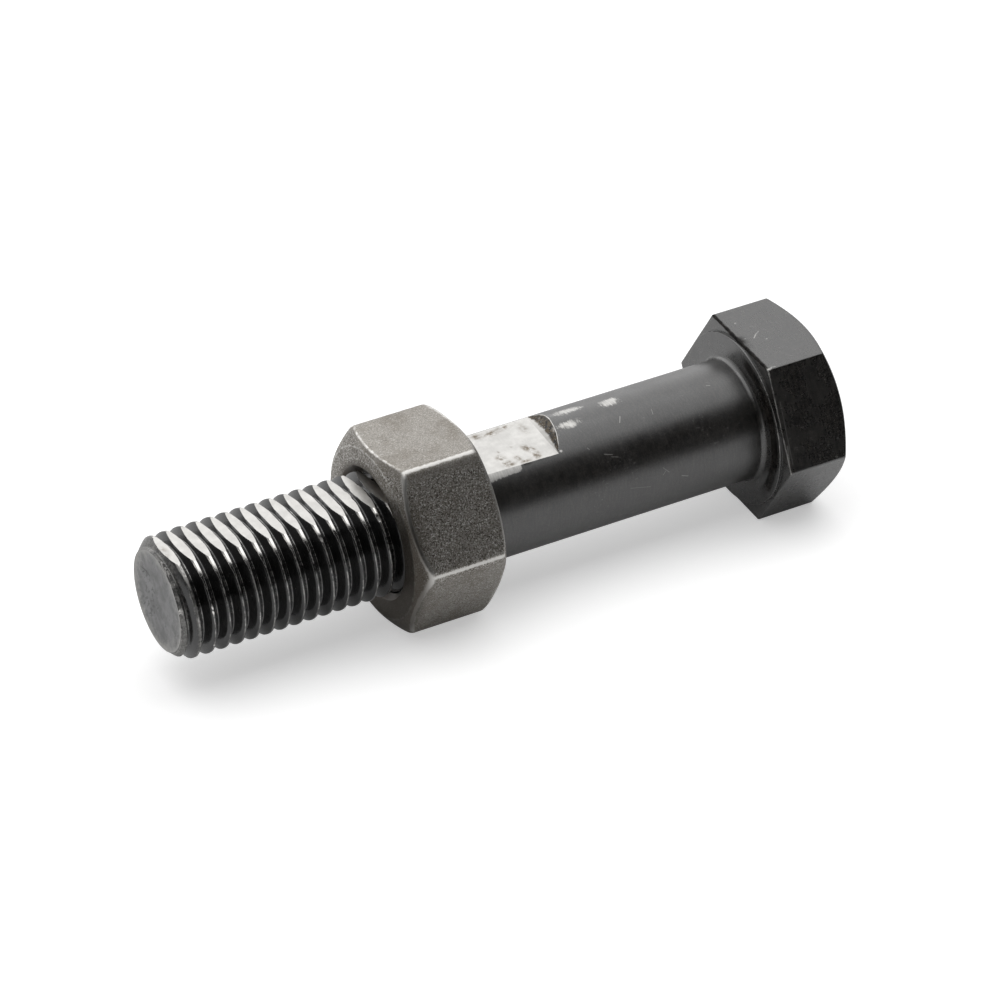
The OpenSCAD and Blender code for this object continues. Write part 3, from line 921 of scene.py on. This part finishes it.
def cut_end(f):
    """The disc at the threaded end: dull grey with small pits and scratches."""
    material, place = new_finish("cut_end")
    mottle = noise(place, 420.0, 5.0)
    pits = use("Speckle", place, Scale=2300.0, Level=0.63)
    lines = use("Scratches", place, Scale=1400.0, Level=0.60, Turn=1.3)
    rim = use("Wear", place, Worn=field(place, "worn"), Break_up=0.3)
    colour = blend(ramp(mottle, 0.3, 0.7), tint(f.end_face, 0.75), tint(f.end_face, 1.3))
    colour = blend(times(most(pits, lines), 0.6), colour, tint(f.end_face, 0.3))
    for begin, end in CUTS:
        colour = blend(times(stroke(place, begin, end, CUT_WIDTH), 0.7), colour, tint(f.end_face, 0.2))
    colour = blend(rim, colour, tint(f.bare, 0.6))
    height = minus(ramp(mottle, 0.0, 1.0), times(pits, 0.5))
    return finish_off(material, colour, 0.45, 0.5, height, 0.2)


def nut_steel(f):
    """Uncoated dull steel of the nut: finely speckled dark and light, less on its top and below its middle, bright
    along its worn edges, partly a painted highlight at the front, and dark where it is stained with grime and,
    on the lower side of the face towards the threaded end, with a painted reflection of the black bolt."""
    material, place = new_finish("nut_steel")
    mottle = noise(place, 420.0, 6.0, 0.7)
    grit = noise(place, 4200.0, 4.0, 0.75)
    up = part_of(place, "Z")
    sides = times(ramp(up, 13 * MM, 14.5 * MM, 1.0, 0.3), ramp(up, -1.5 * MM, 1 * MM, 0.5, 1.0))
    dark = use("Speckle", place, Scale=3700.0, Level=0.50)
    light = use("Speckle", place, Scale=4400.0, Level=0.56)
    worn = use("Wear", place, Worn=field(place, "worn"), Break_up=0.35)
    # Grime, and on the lower side of the face a painted reflection of the black bolt
    grime_and_painted_reflection = times(plus(field(place, "stain"), times(mottle, 0.15)), 0.82)
    colour = blend(ramp(grit, 0.35, 0.65), tint(f.nut, 0.78), tint(f.nut, 1.38))
    colour = blend(ramp(noise(place, 170.0, 4.0), 0.46, 0.66, 0.0, 0.5), colour, tint(f.nut, 0.62, 0.58, 0.52))
    colour = blend(times(dark, sides, ramp(mottle, 0.35, 0.7, 0.55, 1.0)), colour, f.nut_dark)
    colour = blend(times(light, sides, 0.95), colour, tint(f.bare, 1.25))
    colour = blend(times(worn, 0.9), colour, tint(f.bare, 1.2))
    colour = blend(grime_and_painted_reflection, colour, tint(f.nut, 0.22, 0.1936, 0.165))
    rough = minus(ramp(grit, 0.3, 0.7, 0.44, 0.58), times(worn, 0.16))
    return finish_off(material, colour, 0.9, rough, plus(times(grit, 0.6), times(mottle, 0.4)), 0.40)


def nut_bore(f):
    """Inside of the nut: dark oiled steel with a touch of rust brown."""
    material, place = new_finish("nut_bore")
    mottle = noise(place, 700.0, 5.0, 0.65)
    colour = blend(ramp(mottle, 0.4, 0.7), f.nut_dark, tint(f.stain, 0.5))
    return finish_off(material, colour, 0.6, 0.35, mottle, 0.2)


# Stage

WHITE = (1.0, 1.0, 1.0, 1.0)
FLOOR_HALF = 3.0
LAMP_AT, LAMP_AIM, LAMP_SIZE = (0.02, 0.03, 0.62), (0.02, 0.03, 0.0), (1.1, 0.66)
# Where the camera stands, from the angles at which the photograph was taken
CAMERA_AZIMUTH, CAMERA_ELEVATION, CAMERA_ROLL = 28.565, 34.375, -0.561
CAMERA_RIGHT, CAMERA_UP, CAMERA_BACK = -37.518 * MM, -13.138 * MM, 764.374 * MM
CAMERA_LENS, CAMERA_SENSOR = 172.577, 36.0
CAMERA_AIM = Vector((0.5 * MM, 0, 0))


def floor_material(s):
    """Plain pale floor that keeps its shadow. The camera sees it lifted to white, and a reflection sees a fifth of
    that lift."""
    material = bpy.data.materials.new("pale_floor")
    tree = bare_tree(material)
    path = add(tree, "ShaderNodeLightPath").outputs
    seen = most(path["Is Camera Ray"], path["Is Transmission Ray"], times(path["Is Glossy Ray"], 0.20))
    shade = add(tree, "ShaderNodeBsdfDiffuse", {"Color": (*s.floor, 1.0)})
    glow = add(tree, "ShaderNodeEmission", {"Color": WHITE, "Strength": times(seen, s.lift)})
    both = add(tree, "ShaderNodeAddShader", {0: shade.outputs[0], 1: glow.outputs[0]})
    add(tree, "ShaderNodeOutputMaterial", {"Surface": both.outputs[0]})
    return material


def sky(s):
    """World: pale behind the object and overhead, dark below and on the camera's side, and white where the camera
    sees it. A reflection sees it dim towards the back and bright only high up there."""
    world = bpy.data.worlds.new("studio")
    tree = bare_tree(world)
    way = add(tree, "ShaderNodeTexCoord").outputs["Generated"]
    inputs = {0: part_of(way, "Z"), 1: 0.53, 2: part_of(way, "Y")}
    tilted = add(tree, "ShaderNodeMath", inputs, operation="MULTIPLY_ADD").outputs[0]
    even = ramp(tilted, -0.04, 0.10, 0.006, 0.7 * s.sky)
    behind, above = ramp(tilted, 0.0, 0.30, 0.006, 0.26 * s.sky), ramp(tilted, 0.6, 1.1, 0.0, 1.22 * s.sky)
    rising = maths("ADD", behind, above, False)
    path = add(tree, "ShaderNodeLightPath").outputs
    seen = most(path["Is Camera Ray"], path["Is Transmission Ray"])
    dome = add(tree, "ShaderNodeMix", {0: path["Is Glossy Ray"], 2: even, 3: rising}).outputs[0]
    back = add(tree, "ShaderNodeBackground", {"Color": WHITE, "Strength": maths("MAXIMUM", dome, seen, False)})
    add(tree, "ShaderNodeOutputWorld", {"Surface": back.outputs[0]})
    bpy.context.scene.world = world


def stand(name, data):
    """A new object in the scene."""
    thing = bpy.data.objects.new(name, data)
    bpy.context.scene.collection.objects.link(thing)
    return thing


def place_camera():
    """Camera looking along the azimuth and down by the elevation, rolled, then moved sideways, up and back."""
    az, el, roll = (math.radians(a) for a in (CAMERA_AZIMUTH, CAMERA_ELEVATION, CAMERA_ROLL))
    ahead = Vector((math.cos(el) * math.sin(az), math.cos(el) * math.cos(az), -math.sin(el)))
    level = Vector((math.cos(az), -math.sin(az), 0))
    square = level.cross(ahead)
    right = level * math.cos(roll) + square * math.sin(roll)
    up = square * math.cos(roll) - level * math.sin(roll)
    at = CAMERA_AIM + right * CAMERA_RIGHT + up * CAMERA_UP - ahead * CAMERA_BACK
    camera = stand("camera", bpy.data.cameras.new("camera"))
    camera.matrix_world = Matrix.Translation(at) @ Matrix((right, up, -ahead)).transposed().to_4x4()
    camera.data.sensor_width = CAMERA_SENSOR
    camera.data.lens = CAMERA_LENS
    bpy.context.scene.camera = camera


def softbox(name, at, aim, size, power):
    """Rectangular lamp at a place, facing a point."""
    data = bpy.data.lights.new(name, "AREA")
    data.shape = "RECTANGLE"
    data.size, data.size_y = size
    data.energy = power
    lamp = stand(name, data)
    lamp.location = at
    lamp.rotation_euler = (Vector(aim) - Vector(at)).to_track_quat("-Z", "Y").to_euler()


# Operators

class BuildBolt(Operator):
    """Make the bolt and let it stand for its solid"""
    bl_idname = "hexbolt.build_bolt"
    bl_label = "Build the bolt"

    def execute(self, context):
        scheme = context.scene.hexbolt
        finishes = [make(scheme.finish) for make in (black_oxide, oiled_black, milled_steel, dark_wall_step, cut_end)]
        piece = build_bolt(scheme.bolt, finishes)
        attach(piece, "bolt")
        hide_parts("bolt")
        return {"FINISHED"}


class BuildNut(Operator):
    """Make the nut and let it stand for its solid"""
    bl_idname = "hexbolt.build_nut"
    bl_label = "Build the nut"

    def execute(self, context):
        scheme = context.scene.hexbolt
        finishes = [make(scheme.finish) for make in (nut_steel, nut_bore)]
        piece = build_nut(scheme.bolt, scheme.nut, finishes)
        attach(piece, "nut")
        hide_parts("nut")
        return {"FINISHED"}


class BuildStage(Operator):
    """Make the floor, the lamp, the pale surroundings and the camera"""
    bl_idname = "hexbolt.build_stage"
    bl_label = "Build the stage"

    def execute(self, context):
        s = context.scene.hexbolt.stage
        mesh = bpy.data.meshes.new("floor")
        square = [(x * FLOOR_HALF, y * FLOOR_HALF, CAD_BOX[0][2]) for x, y in ((-1, -1), (1, -1), (1, 1), (-1, 1))]
        mesh.from_pydata(square, [], [(0, 1, 2, 3)])
        mesh.materials.append(floor_material(s))
        floor = stand("floor", mesh)
        softbox("overhead", LAMP_AT, LAMP_AIM, LAMP_SIZE, s.key)
        sky(s)
        place_camera()
        context.scene.view_settings.view_transform = "Standard"
        return {"FINISHED"}


class BoltPanel(Panel):
    """Lists the sizes and the steps that build the bolt"""
    bl_idname = "VIEW3D_PT_hexbolt"
    bl_label = "Hex bolt with nut"
    bl_space_type = "VIEW_3D"
    bl_region_type = "UI"
    bl_category = "Bolt"

    def draw(self, context):
        scheme = context.scene.hexbolt
        for step in STEPS:
            self.layout.operator(step.bl_idname)
        for part in (scheme.bolt, scheme.nut, scheme.finish, scheme.stage):
            box = self.layout.box()
            for key in type(part).__annotations__:
                box.prop(part, key)


STEPS = (BuildBolt, BuildNut, BuildStage)
CLASSES = (BoltSizes, NutSizes, Finish, StageSizes, Scheme, *STEPS, BoltPanel)


def register():
    for cls in CLASSES:
        bpy.utils.register_class(cls)
    bpy.types.Scene.hexbolt = PointerProperty(type=Scheme)


def unregister():
    del bpy.types.Scene.hexbolt
    for cls in reversed(CLASSES):
        bpy.utils.unregister_class(cls)


def main():
    register()
    bpy.ops.hexbolt.build_bolt()
    bpy.ops.hexbolt.build_nut()
    bpy.ops.hexbolt.build_stage()
    bpy.context.view_layer.update()


if __name__ == "__main__":
    main()
